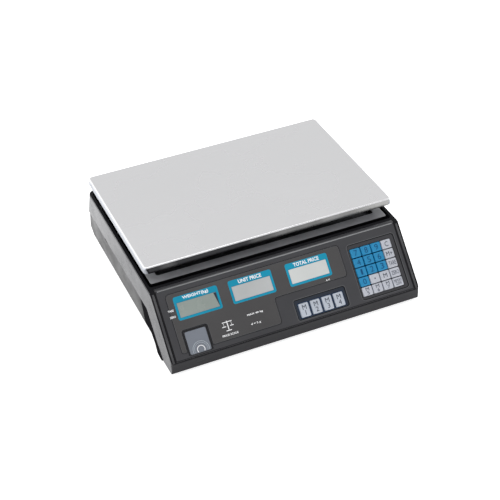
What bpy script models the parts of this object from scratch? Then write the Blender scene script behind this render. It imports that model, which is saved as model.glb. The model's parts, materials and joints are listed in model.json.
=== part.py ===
"""Retail price scale: a steel pan over two plastic shells, with a sloped display and key panel.

Units are metres. +X is the operator's right, the operator stands on the -Y side and +Z is up.
The origin is on the table, under the middle of the scale.
"""

import math

import bmesh
import bpy
from mathutils import Matrix, Vector

MM = 0.001
GAP = 0.3 * MM

# Housing. Depths are measured from a line 93 mm behind the top of the front slope until the last step,
# which centres the scale on the origin.
WIDTH = 340.0 * MM
RIM_Z = 90.0 * MM
REAR_RADIUS = 9.0 * MM
FRONT_RADIUS = 5.0 * MM
WALL = 2.6 * MM
FRONT_Y = -154.6 * MM

# Sloped front of the upper housing, and the nose under it
SLOPE_TOP_Y = -93.0 * MM
CREASE_Z = 22.0 * MM
NOSE_Y = -151.4 * MM
NOSE_Z = 4.2 * MM
SLOPE_WALL = 4.4 * MM

# Parting line between the two shells, seen from the side
PARTING_Z = 51.0 * MM
PARTING_BEND_Y = -72.0 * MM
PARTING_FRONT_Y = -119.0 * MM
PARTING_FRONT_Z = 2.6 * MM
SEAM = 0.5 * MM

# Back of the housing: it leans outwards from the rim to the heel, then turns in under it
BACK_RIM_Y = 157.0 * MM
BACK_LEAN = math.radians(25.5)
HEEL_Z = 21.0 * MM
HEEL_FLOOR_Y = 174.0 * MM
LOWER_BACK_N = -0.6 * MM

# Well in the top of the housing, with the pan carrier in it
WELL_X = 166.0 * MM
WELL_FRONT_Y = -83.2 * MM
WELL_BACK_Y = 150.6 * MM
DECK_Z = 78.0 * MM

# Pan
PAN_X = 168.2 * MM
PAN_FRONT_Y = -77.4 * MM
PAN_BACK_Y = 150.7 * MM
PAN_TOP_Z = 116.2 * MM
PAN_SHEET = 1.0 * MM
PAN_SKIRT = 8.5 * MM
PAN_FLARE = 1.4 * MM
PAN_RADIUS = 5.0 * MM
PAN_Y = (PAN_FRONT_Y + PAN_BACK_Y) / 2

# Pan carrier
CARRIER_X = 162.4 * MM
CARRIER_FRONT_Y = -76.4 * MM
CARRIER_BACK_Y = 133.0 * MM
CARRIER_LOW_Z = 82.5 * MM
FRONT_BAR = 12.8 * MM
REAR_BAR = 18.0 * MM
SIDE_BAR = 12.0 * MM
CARRIER_PLATE = 2.5 * MM

# Lower housing
LOWER_TOP_X = 168.8 * MM
LOWER_FOOT_X = 166.0 * MM
LOWER_FRONT_X = 171.2 * MM
LOWER_Z = 6.2 * MM
LOWER_TOE_Z = 1.8 * MM
FLOOR = 2.5 * MM

# Front panel on the slope: u is across, v is down the slope from its top edge, n is out of the slope
PANEL_X = 163.3 * MM
PANEL_LEDGE_Y = -88.4 * MM
PANEL_END_V = 90.5 * MM
PANEL_THICK = 2.6 * MM
LENS_POCKET = 1.2 * MM
KEY_POCKET = 1.0 * MM

# Displays
LCD_WIDTH = 57.9 * MM
LCD_LEFTS = {"lcd_weight": -144.8 * MM, "lcd_unit_price": -72.4 * MM, "lcd_total_price": 4.8 * MM}
LCD_FRAME_V = (13.3 * MM, 42.8 * MM)
LCD_VIEW_V = (20.7 * MM, 40.4 * MM)
LCD_SIDE = 2.6 * MM
LENS_U = (-153.3 * MM, 81.3 * MM)
LENS_V = (8.1 * MM, 82.6 * MM)
LENS_STEP = (-20.0 * MM, 49.6 * MM)
LEVEL_U = (-143.2 * MM, -115.8 * MM)
LEVEL_V = (58.0 * MM, 86.6 * MM)
LEVEL_FRAME = 2.4 * MM

# Keys
KEY_LEFT_U = 94.3 * MM
KEY_TOP_V = 18.9 * MM
KEY_PITCH_U = 14.55 * MM
KEY_PITCH_V = 12.66 * MM
KEY_SPACE = 0.9 * MM
KEY_HIGH_N = 1.0 * MM
KEY_LOW_N = -3.6 * MM
KEY_POCKET_U = (91.3 * MM, 158.2 * MM)
KEY_POCKET_V = (12.8 * MM, 85.9 * MM)
KEY_ROWS = (
    ("key_7", "key_8", "key_9", "key_c"),
    ("key_4", "key_5", "key_6", "key_add"),
    ("key_1", "key_2", "key_3", "key_tare"),
    ("key_0", "key_point", "key_m", "key_zero"),
    ("key_m5", "key_m6", "key_m7", "key_clear"),
)
BLUE_KEYS = ("key_7", "key_8", "key_9", "key_4", "key_5", "key_6", "key_1", "key_2", "key_3", "key_0")
MEMORY_KEYS = ("key_m1", "key_m2", "key_m3", "key_m4")
MEMORY_LEFT_U = 6.8 * MM
MEMORY_PITCH = 15.93 * MM
MEMORY_WIDTH = 13.1 * MM
MEMORY_V = (65.8 * MM, 83.6 * MM)
MEMORY_POCKET_U = (1.5 * MM, 73.0 * MM)
MEMORY_POCKET_V = (59.7 * MM, 86.4 * MM)

# Load cell and its supports
CELL = Vector((130.0, 30.0, 22.0)) * MM
CELL_LOW_Z = 26.0 * MM
CELL_HOLE_R = 8.0 * MM
CELL_HOLE_X = 13.0 * MM
BRACKET_COLUMN = Vector((50.0, 27.0)) * MM
COLUMN_RADIUS = 5.0 * MM

# Feet, screws, battery, switch and inlet
FOOT_PLACES = {
    "foot_front_left": (-140.0 * MM, -77.0 * MM),
    "foot_front_right": (140.0 * MM, -77.0 * MM),
    "foot_rear_left": (-140.0 * MM, 145.0 * MM),
    "foot_rear_right": (140.0 * MM, 145.0 * MM),
}
FOOT_RADIUS = 13.0 * MM
STUD_RADIUS = 3.0 * MM
SCREW_PLACES = {
    "case_screw_front_left": (-155.0 * MM, -50.0 * MM),
    "case_screw_front_right": (155.0 * MM, -50.0 * MM),
    "case_screw_rear_left": (-155.0 * MM, 158.0 * MM),
    "case_screw_rear_right": (155.0 * MM, 158.0 * MM),
}
BATTERY_LOW = Vector((-141.5, -60.0, 10.0)) * MM
BATTERY_SIZE = Vector((101.0, 70.0, 46.0)) * MM
SWITCH_X = 70.0 * MM
INLET_X = 108.0 * MM

# On the leaning back: n is out of it and w is up it from the rim
SOCKET_W = -60.0 * MM
FLANGE_N = 1.3 * MM
ROCKER_PIVOT_N = -3.2 * MM
ROCKER_REST = math.radians(10.0)
REAR_WINDOW_X = 132.0 * MM
REAR_WINDOW_W = (-37.0 * MM, -15.0 * MM)

SLOPE_ANGLE = math.atan2(RIM_Z - CREASE_Z, SLOPE_TOP_Y - FRONT_Y)
SLOPE_COS = math.cos(SLOPE_ANGLE)
SLOPE_SIN = math.sin(SLOPE_ANGLE)


# ---------------------------------------------------------------- scene and materials

def clear_scene():
    for obj in list(bpy.data.objects):
        bpy.data.objects.remove(obj, do_unlink=True)


def material(name, colour, roughness, metallic=0.0, alpha=1.0):
    made = bpy.data.materials.get(name)
    if made:
        return made
    made = bpy.data.materials.new(name)
    made.use_nodes = True
    shader = made.node_tree.nodes["Principled BSDF"]
    shader.inputs["Base Color"].default_value = (*colour, 1.0)
    shader.inputs["Roughness"].default_value = roughness
    shader.inputs["Metallic"].default_value = metallic
    shader.inputs["Alpha"].default_value = alpha
    made.diffuse_color = (*colour, alpha)
    return made


def housing_plastic():
    return material("housing_plastic", (0.035, 0.035, 0.038), 0.35)


def inner_plastic():
    return material("inner_plastic", (0.02, 0.02, 0.022), 0.5)


def circuit_board():
    return material("circuit_board", (0.02, 0.17, 0.07), 0.45)


def rubber():
    return material("rubber", (0.03, 0.03, 0.03), 0.8)


def aluminium():
    return material("aluminium", (0.75, 0.76, 0.78), 0.35, 1.0)


def zinc_steel():
    return material("zinc_steel", (0.6, 0.6, 0.62), 0.35, 1.0)


def lcd_glass():
    return material("lcd_glass", (0.52, 0.55, 0.5), 0.15)


# ---------------------------------------------------------------- shapes

def mesh_object(name, mesh_data, finish):
    bmesh.ops.recalc_face_normals(mesh_data, faces=mesh_data.faces)
    mesh = bpy.data.meshes.new(name)
    mesh_data.to_mesh(mesh)
    mesh_data.free()
    obj = bpy.data.objects.new(name, mesh)
    bpy.context.scene.collection.objects.link(obj)
    if finish:
        mesh.materials.append(finish)
    return obj


def skin_rings(data, rings):
    """Join rings of equal length one to the next, and close both ends."""
    count = len(rings[0])
    for near, far in zip(rings, rings[1:]):
        for i in range(count):
            j = (i + 1) % count
            data.faces.new((near[i], near[j], far[j], far[i]))
    data.faces.new(rings[0])
    data.faces.new(rings[-1])


def prism(name, outline, axis, low, high, finish=None):
    """Extrude a flat outline along an axis. The outline is (y, z) for X, (x, z) for Y and (x, y) for Z."""
    def place(point, level):
        a, b = point
        return {"X": (level, a, b), "Y": (a, level, b), "Z": (a, b, level)}[axis]

    data = bmesh.new()
    skin_rings(data, [[data.verts.new(place(point, level)) for point in outline] for level in (low, high)])
    return mesh_object(name, data, finish)


def box(name, low, high, finish=None):
    outline = [(low[0], low[1]), (high[0], low[1]), (high[0], high[1]), (low[0], high[1])]
    return prism(name, outline, "Z", low[2], high[2], finish)


def circle(centre, radius, steps):
    turns = [2 * math.pi * (i + 0.5) / steps for i in range(steps)]
    return [(centre[0] + radius * math.cos(a), centre[1] + radius * math.sin(a)) for a in turns]


def cylinder(name, centre, radius, low, high, finish=None, axis="Z", steps=20):
    obj = prism(name, circle(centre, radius, steps), axis, low, high, finish)
    obj.data.shade_smooth()
    obj.data.set_sharp_from_angle(angle=math.radians(40))
    return obj


def fillet(points, radii, steps=4):
    """Round the corners of a closed outline with arcs. A radius of zero keeps the corner sharp."""
    rounded = []
    for i, radius in enumerate(radii):
        corner = Vector(points[i])
        before = (Vector(points[i - 1]) - corner).normalized()
        after = (Vector(points[(i + 1) % len(points)]) - corner).normalized()
        if not radius:
            rounded.append(tuple(corner))
            continue
        half = before.angle(after) / 2
        centre = corner + (before + after).normalized() * radius / math.sin(half)
        start = corner + before * radius / math.tan(half) - centre
        end = corner + after * radius / math.tan(half) - centre
        turn = start.angle_signed(end)
        for k in range(steps + 1):
            angle = -turn * k / steps
            cos, sin = math.cos(angle), math.sin(angle)
            arm = Vector((start.x * cos - start.y * sin, start.x * sin + start.y * cos))
            rounded.append(tuple(centre + arm))
    return rounded


def rectangle(low_a, high_a, low_b, high_b, radius=0.0, steps=4):
    corners = [(low_a, low_b), (high_a, low_b), (high_a, high_b), (low_a, high_b)]
    return fillet(corners, [radius] * 4, steps)


def boolean(obj, tool, operation):
    tool.hide_render = True
    tool.display_type = "WIRE"
    step = obj.modifiers.new(operation.lower(), "BOOLEAN")
    step.operation = operation
    step.solver = "EXACT"
    step.object = tool


def cut(obj, *tools):
    for tool in tools:
        boolean(obj, tool, "DIFFERENCE")


def join(obj, *tools):
    for tool in tools:
        boolean(obj, tool, "UNION")


def on_slope(obj):
    """Lay an object made in (u, -v, n) on the slope."""
    obj.location = (0.0, SLOPE_TOP_Y, RIM_Z)
    obj.rotation_euler = (SLOPE_ANGLE, 0.0, 0.0)
    return obj


def slope_plate(name, outline, low_n, high_n, finish=None):
    """A plate on the slope, from an outline of (u, v) points."""
    return on_slope(prism(name, [(u, -v) for u, v in outline], "Z", low_n, high_n, finish))


def slope_point(v, n):
    """The (y, z) of a point v down the slope and n out of it."""
    return (SLOPE_TOP_Y - v * SLOPE_COS - n * SLOPE_SIN, RIM_Z - v * SLOPE_SIN + n * SLOPE_COS)


def back_y(z, n=0.0):
    """Where the leaning back, moved out by n, crosses a level."""
    return BACK_RIM_Y + (RIM_Z - z) * math.tan(BACK_LEAN) + n / math.cos(BACK_LEAN)


def on_back(obj):
    """Lay an object made in (x, n, w) on the leaning back."""
    obj.location = (0.0, BACK_RIM_Y, RIM_Z)
    obj.rotation_euler = (BACK_LEAN, 0.0, 0.0)
    return obj


def back_plate(name, outline, low_n, high_n, finish=None):
    """A plate on the leaning back, from an outline of (x, w) points."""
    return on_back(prism(name, outline, "Y", low_n, high_n, finish))


def back_box(name, low, high, finish=None):
    return on_back(box(name, low, high, finish))


def under_rim(depth, drop):
    """Where a surface that lies a depth under the slope meets a level that lies a drop under the rim."""
    return slope_point((drop - depth * SLOPE_COS) / SLOPE_SIN, -depth)


# ---------------------------------------------------------------- upper housing

def plan_tool(name, inset):
    """A block with round upright corners in front, whose rear half leans back with the housing."""
    left, right = inset - WIDTH / 2, WIDTH / 2 - inset
    front, back = FRONT_Y - MM, BACK_RIM_Y - inset / math.cos(BACK_LEAN)
    corners = [(left, front), (right, front), (right, back), (left, back)]
    radii = [FRONT_RADIUS - inset] * 2 + [REAR_RADIUS - inset] * 2
    tool = prism(name, fillet(corners, radii, 5), "Z", -20 * MM, 100 * MM)
    for vertex in tool.data.vertices:
        if vertex.co.y > 0:
            vertex.co.y += back_y(vertex.co.z) - BACK_RIM_Y
    return tool


def upper_outer():
    behind = back_y(PARTING_Z) + 10 * MM
    profile = [
        (behind, PARTING_Z),
        (behind, RIM_Z),
        (SLOPE_TOP_Y, RIM_Z),
        (FRONT_Y, CREASE_Z),
        (NOSE_Y, NOSE_Z),
        (PARTING_FRONT_Y, PARTING_FRONT_Z),
        (PARTING_BEND_Y, PARTING_Z),
    ]
    radii = [0, 0, 2.5 * MM, 2.0 * MM, 3.0 * MM, 0, 5.0 * MM]
    shell = prism("upper_housing", fillet(profile, radii), "X", -WIDTH, WIDTH, housing_plastic())
    boolean(shell, plan_tool("upper_plan", 0.0), "INTERSECT")
    return shell


def upper_cavity():
    under_deck = DECK_Z - WALL
    ledge_y = WELL_FRONT_Y - WALL
    behind = back_y(0) + 10 * MM
    profile = [
        (behind, -10 * MM),
        (behind, under_deck),
        (ledge_y, under_deck),
        (ledge_y, RIM_Z - WALL),
        under_rim(SLOPE_WALL, WALL),
        slope_point(88.0 * MM, -SLOPE_WALL),
        (NOSE_Y + 2.8 * MM, NOSE_Z + WALL),
        (PARTING_FRONT_Y + MM, PARTING_FRONT_Z + WALL),
        (PARTING_FRONT_Y + 5 * MM, -10 * MM),
    ]
    cavity = prism("upper_cavity", profile, "X", -WIDTH, WIDTH)
    boolean(cavity, plan_tool("cavity_plan", WALL), "INTERSECT")
    return cavity


def panel_recess():
    """The seat of the front panel: over the ledge and down the slope, with clearance all round."""
    depth = PANEL_THICK + GAP
    profile = [
        (PANEL_LEDGE_Y + GAP, RIM_Z + 5 * MM),
        (PANEL_LEDGE_Y + GAP, RIM_Z - depth),
        under_rim(depth, depth),
        slope_point(PANEL_END_V + GAP, -depth),
        slope_point(PANEL_END_V + GAP, 5 * MM),
        (SLOPE_TOP_Y - 8 * MM, RIM_Z + 5 * MM),
    ]
    return prism("panel_recess", profile, "X", -PANEL_X - GAP, PANEL_X + GAP)


def case_bosses():
    bosses = []
    for name, (x, y) in SCREW_PLACES.items():
        bosses.append(cylinder(name + "_boss", (x, y), 4.5 * MM, 9.2 * MM, DECK_Z - MM, steps=16))
    return bosses


def rear_outline(grow, radius=0.0):
    """The customer's window in the back, grown or shrunk on every side."""
    low_w, high_w = REAR_WINDOW_W
    return rectangle(-REAR_WINDOW_X - grow, REAR_WINDOW_X + grow, low_w - grow, high_w + grow, radius)


def make_upper_housing():
    shell = upper_outer()
    cut(shell, upper_cavity())
    join(shell, *case_bosses())
    well = rectangle(-WELL_X, WELL_X, WELL_FRONT_Y, WELL_BACK_Y, 4 * MM)
    cut(shell, prism("well_cut", well, "Z", DECK_Z, RIM_Z + 10 * MM))
    hole = COLUMN_RADIUS + 2.5 * MM
    for i, centre in enumerate(bracket_columns()):
        cut(shell, cylinder("deck_hole_%d" % i, centre, hole, DECK_Z - 8 * MM, DECK_Z + 2 * MM))
    cut(shell, panel_recess())
    opening = rectangle(-157 * MM, 157 * MM, 7.5 * MM, 86.8 * MM, 3 * MM)
    cut(shell, slope_plate("panel_opening", opening, -6 * MM, -PANEL_THICK))
    cut(shell, back_plate("rear_recess", rear_outline(GAP, 3 * MM), -1.3 * MM, 5 * MM))
    cut(shell, back_plate("rear_view", rear_outline(-3 * MM), -5 * MM, 0))
    for name, (x, y) in SCREW_PLACES.items():
        cut(shell, cylinder(name + "_bore", (x, y), 1.6 * MM, 5 * MM, 24 * MM, steps=12))


# ---------------------------------------------------------------- lower housing

def lower_body(name, inset, low_z, high_z, finish=None):
    """A tray lofted along Y: wider at the top, flaring towards the front toe, with a leaning round back."""
    front = PARTING_FRONT_Y - 1.5 * MM
    radius = REAR_RADIUS - inset
    round_y = BACK_RIM_Y + (LOWER_BACK_N - inset) / math.cos(BACK_LEAN) - radius
    sections = [
        (front + inset, LOWER_FRONT_X, 0.0, 0.0),
        (front + 20 * MM, LOWER_FRONT_X - 0.4 * MM, 0.0, 0.0),
        (front + 55 * MM, LOWER_FOOT_X, 0.0, 0.0),
    ]
    for step in range(6):
        angle = math.radians(18 * step)
        pinch = radius * (1 - math.cos(angle))
        sections.append((round_y + radius * math.sin(angle), LOWER_FOOT_X, pinch, math.tan(BACK_LEAN)))
    data = bmesh.new()
    rings = []
    for y, foot_x, pinch, lean in sections:
        rise = (LOWER_TOP_X - foot_x) / (PARTING_Z - LOWER_Z)
        low_x = foot_x + rise * (low_z - LOWER_Z) - inset - pinch
        high_x = foot_x + rise * (high_z - LOWER_Z) - inset - pinch
        corners = ((-low_x, low_z), (low_x, low_z), (high_x, high_z), (-high_x, high_z))
        rings.append([data.verts.new((x, y + lean * (RIM_Z - z), z)) for x, z in corners])
    skin_rings(data, rings)
    return mesh_object(name, data, finish)


def lower_side(name, inset, low_z, toe_z):
    """Side profile that trims the tray: heel, flat floor, lower toe, and the parting line less the seam."""
    heel_run = (back_y(HEEL_Z, LOWER_BACK_N) - HEEL_FLOOR_Y) / (HEEL_Z - LOWER_Z)
    heel_y = HEEL_FLOOR_Y - inset * math.hypot(1, heel_run)
    rise = 8 * MM
    behind = heel_y + heel_run * (HEEL_Z + rise - LOWER_Z)
    lean = math.atan2(PARTING_Z - PARTING_FRONT_Z, PARTING_BEND_Y - PARTING_FRONT_Y)
    shift_y = (SEAM + inset) * math.sin(lean)
    shift_z = SEAM * math.cos(lean)
    profile = [
        (behind, PARTING_Z - SEAM + inset * 4),
        (behind, HEEL_Z + rise),
        (heel_y + heel_run * (low_z - LOWER_Z), low_z),
        (-90 * MM, low_z),
        (-104 * MM, toe_z),
        (PARTING_FRONT_Y + 3.5 * MM + shift_y, toe_z),
        (PARTING_FRONT_Y + shift_y, PARTING_FRONT_Z - shift_z),
        (PARTING_BEND_Y + shift_y, PARTING_Z - SEAM),
    ]
    if inset:
        profile[7:] = [(PARTING_FRONT_Y - 20 * MM, PARTING_Z + inset * 4)]
    return prism(name, profile, "X", -WIDTH, WIDTH)


def rear_hole(name, x, half_x, half_w):
    low = (x - half_x, -10 * MM, SOCKET_W - half_w)
    return back_box(name, low, (x + half_x, 5 * MM, SOCKET_W + half_w))


def battery_outline(grow, radius=0.0):
    """The battery's plan, grown on every side."""
    low, high = BATTERY_LOW, BATTERY_LOW + BATTERY_SIZE
    return rectangle(low.x - grow, high.x + grow, low.y - grow, high.y + grow, radius)


def make_lower_housing():
    tray = lower_body("lower_housing", 0.0, MM, PARTING_Z + 5 * MM, housing_plastic())
    boolean(tray, lower_side("lower_trim", 0.0, LOWER_Z, LOWER_TOE_Z), "INTERSECT")
    hollow = lower_body("lower_hollow", FLOOR, MM, 70 * MM)
    boolean(hollow, lower_side("hollow_trim", FLOOR, LOWER_Z + FLOOR, LOWER_TOE_Z + FLOOR), "INTERSECT")
    cut(tray, hollow)
    for name, (x, y) in FOOT_PLACES.items():
        join(tray, cylinder(name + "_boss", (x, y), 7 * MM, 7 * MM, 17 * MM))
    for name, (x, y) in FOOT_PLACES.items():
        cut(tray, cylinder(name + "_bore", (x, y), STUD_RADIUS + GAP, 0, 30 * MM, steps=16))
    for name, (x, y) in SCREW_PLACES.items():
        cut(tray, cylinder(name + "_hole", (x, y), 1.7 * MM, 0, 30 * MM, steps=12))
        cut(tray, cylinder(name + "_seat", (x, y), 3.5 * MM, 0, 8.1 * MM, steps=16))
    cut(tray, prism("battery_opening", battery_outline(MM), "Z", 0, 9 * MM))
    cut(tray, prism("battery_rebate", battery_outline(3.5 * MM, 3 * MM), "Z", 0, LOWER_Z + 1.6 * MM))
    cut(tray, rear_hole("switch_hole", SWITCH_X, 10.0 * MM, 7.0 * MM))
    cut(tray, rear_hole("inlet_hole", INLET_X, 10.8 * MM, 7.3 * MM))
    for side in (-1, 1):
        notch_x = side * LOWER_TOP_X
        low = (notch_x - 1.6 * MM, 92 * MM, 44.5 * MM)
        cut(tray, box("clip_notch_%d" % side, low, (notch_x + 1.6 * MM, 103 * MM, 47.7 * MM)))


# ---------------------------------------------------------------- front panel, displays and level

def make_front_panel():
    profile = [
        (PANEL_LEDGE_Y, RIM_Z),
        (PANEL_LEDGE_Y, RIM_Z - PANEL_THICK),
        under_rim(PANEL_THICK, PANEL_THICK),
        slope_point(PANEL_END_V, -PANEL_THICK),
        slope_point(PANEL_END_V, 0),
        (SLOPE_TOP_Y, RIM_Z),
    ]
    radii = [0, 0, 0, 0, 0.8 * MM, 2.5 * MM]
    panel = prism("front_panel", fillet(profile, radii), "X", -PANEL_X, PANEL_X, housing_plastic())
    cut(panel, slope_plate("lens_pocket", lens_outline(GAP), -LENS_POCKET, 3 * MM))
    for name, left in LCD_LEFTS.items():
        view = rectangle(left + LCD_SIDE, left + LCD_WIDTH - LCD_SIDE, *LCD_VIEW_V)
        cut(panel, slope_plate(name + "_view", view, -5 * MM, 0))
    pocket = rectangle(*KEY_POCKET_U, *KEY_POCKET_V, 4 * MM)
    cut(panel, slope_plate("key_pocket", pocket, -KEY_POCKET, 3 * MM))
    margin = KEY_SPACE / 2 + 0.1 * MM
    right_u = KEY_LEFT_U + 4 * KEY_PITCH_U - KEY_SPACE
    low_v = KEY_TOP_V + 5 * KEY_PITCH_V - KEY_SPACE
    field = rectangle(KEY_LEFT_U - margin, right_u + margin, KEY_TOP_V - margin, low_v + margin)
    cut(panel, slope_plate("key_field", field, -5 * MM, 0))
    pocket = rectangle(*MEMORY_POCKET_U, *MEMORY_POCKET_V, 3 * MM)
    cut(panel, slope_plate("memory_pocket", pocket, -KEY_POCKET, 3 * MM))
    for i, name in enumerate(MEMORY_KEYS):
        left = MEMORY_LEFT_U + i * MEMORY_PITCH
        right = left + MEMORY_WIDTH
        hole = rectangle(left - margin, right + margin, MEMORY_V[0] - margin, MEMORY_V[1] + margin)
        cut(panel, slope_plate(name + "_hole", hole, -5 * MM, 0))
    left, right = LEVEL_U
    top, low = LEVEL_V
    sides = (left - LEVEL_FRAME, right + LEVEL_FRAME)
    frame = rectangle(*sides, top - LEVEL_FRAME, low + 1.2 * MM, 2 * MM)
    cut(panel, slope_plate("level_pocket", frame, -0.9 * MM, 3 * MM))
    hole = rectangle(left - GAP, right + GAP, top - GAP, low + GAP, 2 * MM)
    cut(panel, slope_plate("level_hole", hole, -5 * MM, 0))


def lens_outline(grow=0.0):
    """The label covers the three displays, steps round the memory keys and leaves a notch for the level."""
    left, right = LENS_U[0] - grow, LENS_U[1] + grow
    top, low = LENS_V[0] - grow, LENS_V[1] + grow
    step_u, step_v = LENS_STEP[0] + grow, LENS_STEP[1] + grow
    notch_left = LEVEL_U[0] - LEVEL_FRAME - 0.6 * MM - grow
    notch_right = LEVEL_U[1] + LEVEL_FRAME + 0.6 * MM + grow
    notch_top = LEVEL_V[0] - LEVEL_FRAME - 0.6 * MM + grow
    if grow:
        notch_left, notch_right = notch_left + 2 * grow, notch_right - 2 * grow
    corners = [
        (left, top, 5.0),
        (right, top, 5.0),
        (right, step_v, 4.0),
        (step_u, step_v, 3.0),
        (step_u, low, 4.0),
        (notch_right, low, 1.5),
        (notch_right, notch_top, 3.0),
        (notch_left, notch_top, 3.0),
        (notch_left, low, 1.5),
        (left, low, 3.0),
    ]
    return fillet([corner[:2] for corner in corners], [corner[2] * MM for corner in corners])


def make_displays():
    tint = material("display_lens", (0.06, 0.055, 0.055), 0.08, alpha=0.9)
    slope_plate("display_lens", lens_outline(), GAP - LENS_POCKET, 0.1 * MM, tint)
    edge = 0.7 * MM
    top, low = LCD_FRAME_V
    for name, left in LCD_LEFTS.items():
        glass = rectangle(left + edge, left + LCD_WIDTH - edge, top + 2 * MM, low)
        slope_plate(name, glass, -5.8 * MM, -PANEL_THICK - 0.4 * MM, lcd_glass())
    board = rectangle(-150 * MM, 72 * MM, 9.5 * MM, 50 * MM)
    slope_plate("display_board", board, -7.8 * MM, -6.2 * MM, circuit_board())


def make_level():
    clear = material("clear_plastic", (0.85, 0.88, 0.9), 0.08, alpha=0.35)
    window = rectangle(*LEVEL_U, *LEVEL_V, 2 * MM)
    slope_plate("level_window", window, -2.6 * MM, -0.3 * MM, clear)
    fluid = material("level_fluid", (0.75, 0.8, 0.7), 0.1)
    centre = (-128.0 * MM, -136.4 * MM)
    vial = cylinder("level_vial", centre, 9.4 * MM, 10.6 * MM, 19.0 * MM, fluid, steps=28)
    join(vial, cylinder("vial_flange", centre, 9.9 * MM, 10.6 * MM, 12.6 * MM, steps=28))


# ---------------------------------------------------------------- keys

def key_mesh(width, height, finish):
    """A key cap about its own centre: straight skirt, tapered top with a bevelled edge."""
    data = bmesh.new()
    top = KEY_HIGH_N
    shoulder = top - 1.4 * MM
    levels = ((KEY_LOW_N, 0.0), (shoulder, 0.0), (top - 0.35 * MM, 0.55 * MM), (top, 1.0 * MM))
    rings = []
    for n, inset in levels:
        x, y = width / 2 - inset, height / 2 - inset
        outline = rectangle(-x, x, -y, y, 1.1 * MM, 2)
        rings.append([data.verts.new((x, y, n)) for x, y in outline])
    skin_rings(data, rings)
    bmesh.ops.recalc_face_normals(data, faces=data.faces)
    mesh = bpy.data.meshes.new("key_cap")
    data.to_mesh(mesh)
    data.free()
    mesh.materials.append(finish)
    return mesh


def place_key(name, mesh, u, v):
    key = bpy.data.objects.new(name, mesh)
    bpy.context.scene.collection.objects.link(key)
    y, z = slope_point(v, 0)
    key.location = (u, y, z)
    key.rotation_euler = (SLOPE_ANGLE, 0, 0)


def make_keys():
    blue = material("key_blue", (0.02, 0.24, 0.5), 0.4)
    white = material("key_white", (0.75, 0.77, 0.82), 0.4)
    width, height = KEY_PITCH_U - KEY_SPACE, KEY_PITCH_V - KEY_SPACE
    blue_cap = key_mesh(width, height, blue)
    white_cap = key_mesh(width, height, white)
    for row, names in enumerate(KEY_ROWS):
        for column, name in enumerate(names):
            u = KEY_LEFT_U + column * KEY_PITCH_U + width / 2
            v = KEY_TOP_V + row * KEY_PITCH_V + height / 2
            place_key(name, blue_cap if name in BLUE_KEYS else white_cap, u, v)
    memory_cap = key_mesh(MEMORY_WIDTH, MEMORY_V[1] - MEMORY_V[0], white)
    for i, name in enumerate(MEMORY_KEYS):
        u = MEMORY_LEFT_U + i * MEMORY_PITCH + MEMORY_WIDTH / 2
        place_key(name, memory_cap, u, sum(MEMORY_V) / 2)


def keypad_outline(margin):
    """An L that runs under the memory keys and the main keys."""
    right, low = 154.0 * MM + margin, 84.4 * MM + margin
    left, top = 5.0 * MM - margin, 17.2 * MM - margin
    return [
        (left, 64.5 * MM - margin), (92.6 * MM - margin, 64.5 * MM - margin), (92.6 * MM - margin, top),
        (right, top), (right, low), (left, low),
    ]


def make_keypad():
    slope_plate("keypad_mat", keypad_outline(0.0), -6.1 * MM, -4.95 * MM, rubber())
    slope_plate("keypad_board", keypad_outline(1.0 * MM), -8.0 * MM, -6.4 * MM, circuit_board())


# ---------------------------------------------------------------- pan, carrier and load cell

def bracket_columns():
    """Centres of the four columns that pass through the deck and hold up the carrier."""
    return [(x * BRACKET_COLUMN.x, PAN_Y + y * BRACKET_COLUMN.y) for x in (-1, 1) for y in (-1, 1)]


def pan_block(name, levels, finish=None):
    """A block with the pan's outline, set in from it by a different amount at each level."""
    data = bmesh.new()
    rings = []
    for z, inset in levels:
        front, back = PAN_FRONT_Y + inset, PAN_BACK_Y - inset
        outline = rectangle(inset - PAN_X, PAN_X - inset, front, back, PAN_RADIUS - inset, 5)
        rings.append([data.verts.new((x, y, z)) for x, y in outline])
    skin_rings(data, rings)
    return mesh_object(name, data, finish)


def make_pan():
    """The loose steel pan: a flat top with a rolled edge and a skirt that flares a little."""
    steel = material("pan_steel", (0.72, 0.72, 0.73), 0.28, 1.0)
    edge = 1.4 * MM
    low = PAN_TOP_Z - PAN_SKIRT
    shoulder = PAN_TOP_Z - edge
    levels = ((low, -PAN_FLARE), (shoulder, 0.0), (PAN_TOP_Z - edge * 0.3, edge * 0.3), (PAN_TOP_Z, edge))
    pan = pan_block("pan", levels, steel)
    under = low - MM
    under_inset = PAN_SHEET - PAN_FLARE * (shoulder - under) / (shoulder - low)
    inside = ((under, under_inset), (shoulder, PAN_SHEET), (PAN_TOP_Z - PAN_SHEET, PAN_SHEET))
    cut(pan, pan_block("pan_hollow", inside))


def make_pan_carrier():
    """A tray hung clear of the well: raised bars round a plate, and a post under each pan corner."""
    left, right = -CARRIER_X, CARRIER_X
    front, back = CARRIER_FRONT_Y, CARRIER_BACK_Y
    outline = rectangle(left, right, front, back, 2 * MM, 2)
    tray = prism("pan_carrier", outline, "Z", CARRIER_LOW_Z, RIM_Z, inner_plastic())
    recess = rectangle(left + SIDE_BAR, right - SIDE_BAR, front + FRONT_BAR, back - REAR_BAR, 3 * MM)
    cut(tray, prism("tray_recess", recess, "Z", CARRIER_LOW_Z + CARRIER_PLATE, RIM_Z + 5 * MM))
    top = PAN_TOP_Z - PAN_SHEET - GAP
    for i, centre in enumerate(pan_posts()):
        join(tray, cylinder("pan_post_%d" % i, centre, 5.5 * MM, CARRIER_LOW_Z + MM, top, steps=16))


def pan_posts():
    x = CARRIER_X - SIDE_BAR / 2
    return [(side * x, y) for side in (-1, 1) for y in (-40 * MM, 112 * MM)]


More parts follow.
